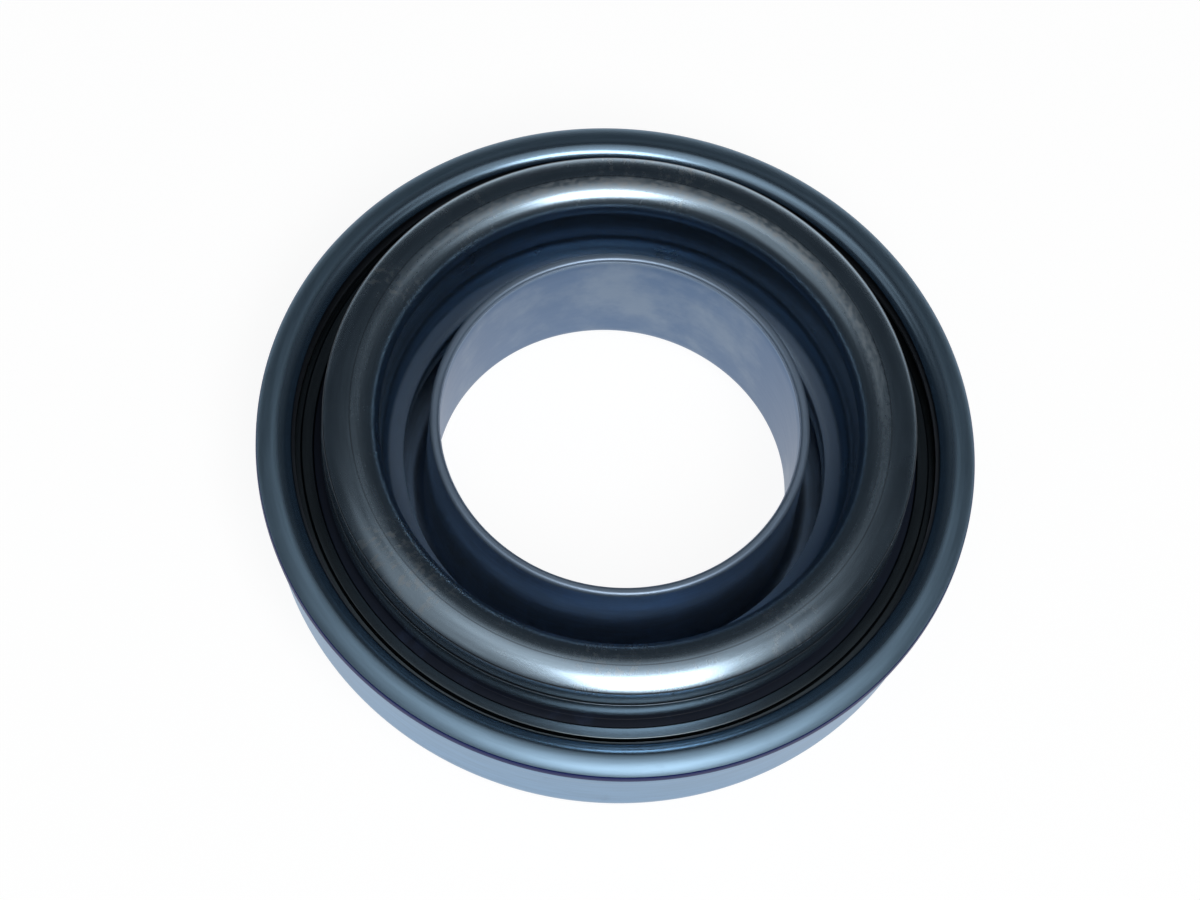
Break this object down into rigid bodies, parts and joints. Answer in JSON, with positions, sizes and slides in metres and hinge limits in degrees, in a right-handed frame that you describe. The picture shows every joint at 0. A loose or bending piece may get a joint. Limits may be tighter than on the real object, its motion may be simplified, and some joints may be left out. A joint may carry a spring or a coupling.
{
  "type": "clutch release bearing",
  "caption": "Self-centring clutch release bearing: a rimmed pressed housing holds a floating ball race with a spinning round-nosed contact ring around a flanged guide sleeve.",
  "frame": {"origin": "centre of the flat back face that the fork pushes on", "axes": "+Z along the bearing's axis, towards the nose of the contact ring; +X along the modelled float"},
  "size_m": [0.068, 0.068, 0.0181],
  "materials": {
    "plated_sheet": "pale satin plating on pressed sheet",
    "rim_sheet": "oiled, roll-formed sheet",
    "sleeve_sheet": "smooth drawn tube with a thin oil film",
    "spring_steel": "dark tempered strip",
    "race_steel": "ground bearing steel",
    "seal_rubber": "moulded black rubber",
    "shield_sheet": "thin pressed sheet",
    "cage_plastic": "moulded polyamide",
    "ring_steel": "turned, hardened and oiled, with a worn crown",
    "ball_steel": "polished bearing steel"
  },
  "bodies": {
    "carrier": {"housing": "plated_sheet", "rim_cover": "rim_sheet", "guide_sleeve": "sleeve_sheet", "wave_spring": "spring_steel"},
    "race": {"outer_ring": "race_steel", "front_seal": "seal_rubber", "rear_shield": "shield_sheet"},
    "contact": {"contact_ring": "ring_steel"},
    "cage": {"ball_cage": "cage_plastic", "ball_01": "ball_steel", "ball_02": "ball_steel", "ball_03": "ball_steel", "ball_04": "ball_steel", "ball_05": "ball_steel", "ball_06": "ball_steel", "ball_07": "ball_steel", "ball_08": "ball_steel", "ball_09": "ball_steel", "ball_10": "ball_steel", "ball_11": "ball_steel", "ball_12": "ball_steel", "ball_13": "ball_steel", "ball_14": "ball_steel", "ball_15": "ball_steel", "ball_16": "ball_steel", "ball_17": "ball_steel", "ball_18": "ball_steel", "ball_19": "ball_steel", "ball_20": "ball_steel"}
  },
  "joints": [
    {"name": "race_float", "type": "slide", "parent": "carrier", "child": "race", "axis": [1, 0, 0], "range_m": [-0.0005, 0.0005]},
    {"name": "contact_spin", "type": "hinge", "parent": "race", "child": "contact", "pos_m": [0, 0, 0.0073], "axis": [0, 0, 1], "continuous": true},
    {"name": "cage_spin", "type": "hinge", "parent": "race", "child": "cage", "pos_m": [0, 0, 0.0073], "axis": [0, 0, 1], "continuous": true}
  ],
  "couplings": [
    {"joint": "cage_spin", "follows": "contact_spin", "ratio": 0.4644}
  ]
}
